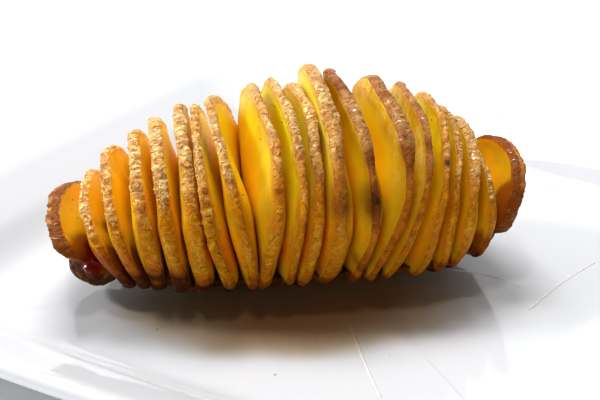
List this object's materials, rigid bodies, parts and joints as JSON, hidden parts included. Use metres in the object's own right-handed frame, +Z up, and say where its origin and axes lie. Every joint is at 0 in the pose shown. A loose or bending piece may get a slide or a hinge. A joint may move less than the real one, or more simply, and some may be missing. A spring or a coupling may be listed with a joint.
{
  "type": "hasselback potato in dish",
  "caption": "Roast potato cut into thin slices that stay joined along its underside, resting in a shallow square glazed dish with a wide sloping rim.",
  "frame": {"origin": "on the surface that the dish stands on, under the dish's centre", "axes": "+Z up; X and Y along the dish's sides; the potato's long axis is turned 37.5 degrees from +X towards +Y"},
  "size_m": [0.2, 0.2, 0.0595],
  "materials": {
    "potato": "roasted skin and oiled golden flesh",
    "glaze": "glossy white glaze"
  },
  "bodies": {
    "root": {"potato": "potato", "dish": "glaze"}
  },
  "joints": []
}
